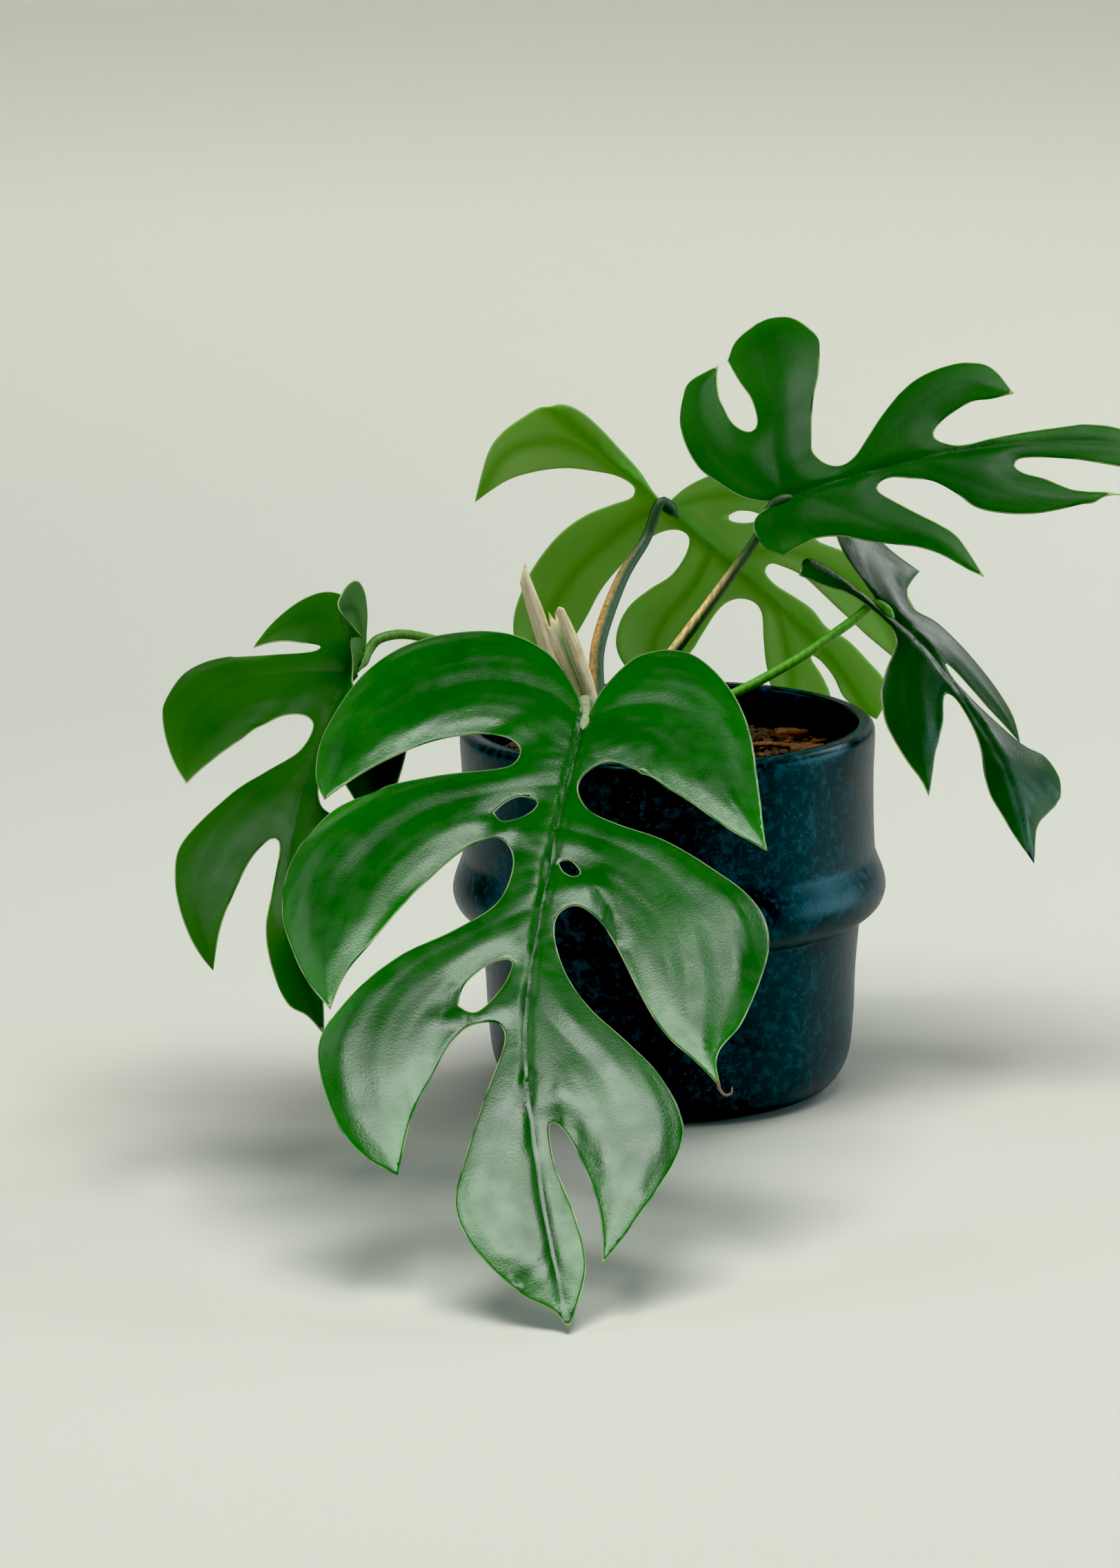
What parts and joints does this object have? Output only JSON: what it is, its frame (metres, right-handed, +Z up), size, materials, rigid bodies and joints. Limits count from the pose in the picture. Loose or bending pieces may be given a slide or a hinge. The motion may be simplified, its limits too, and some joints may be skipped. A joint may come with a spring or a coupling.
{
  "type": "potted mini monstera plant",
  "caption": "Small split-leaf climbing plant with glossy lobed leaves on thin petioles, in a dark blue glazed pot with a rounded ridge, filled with soil.",
  "frame": {"origin": "centre of the pot's flat underside", "axes": "+Z up; -Y towards the front, where the largest leaf hangs over the rim; +X to the right seen from the front"},
  "size_m": [0.3119, 0.3704, 0.2382],
  "materials": {
    "glaze": "satin",
    "potting_soil": "matte",
    "bark": "matte",
    "green_stem": "satin",
    "dark_leaf": "satin",
    "pale_leaf": "satin",
    "dried_sheath": "matte"
  },
  "bodies": {
    "root": {"pot": "glaze", "soil": "potting_soil", "stem": "green_stem", "petiole_front": "green_stem", "petiole_left": "green_stem", "petiole_back": "green_stem", "petiole_upper": "green_stem", "petiole_right": "green_stem", "leaf_front": "dark_leaf", "leaf_left": "dark_leaf", "leaf_back": "pale_leaf", "leaf_upper": "dark_leaf", "leaf_right": "dark_leaf", "sheath_tall": "dried_sheath", "sheath_torn": "dried_sheath", "sheath_short": "dried_sheath", "bark_chip_1": "bark", "bark_chip_2": "bark", "bark_chip_3": "bark", "bark_chip_4": "bark", "bark_chip_5": "bark", "bark_chip_6": "bark", "bark_chip_7": "bark", "bark_chip_8": "bark", "bark_chip_9": "bark", "bark_chip_10": "bark", "surface_root_1": "bark", "surface_root_2": "bark"}
  },
  "joints": []
}
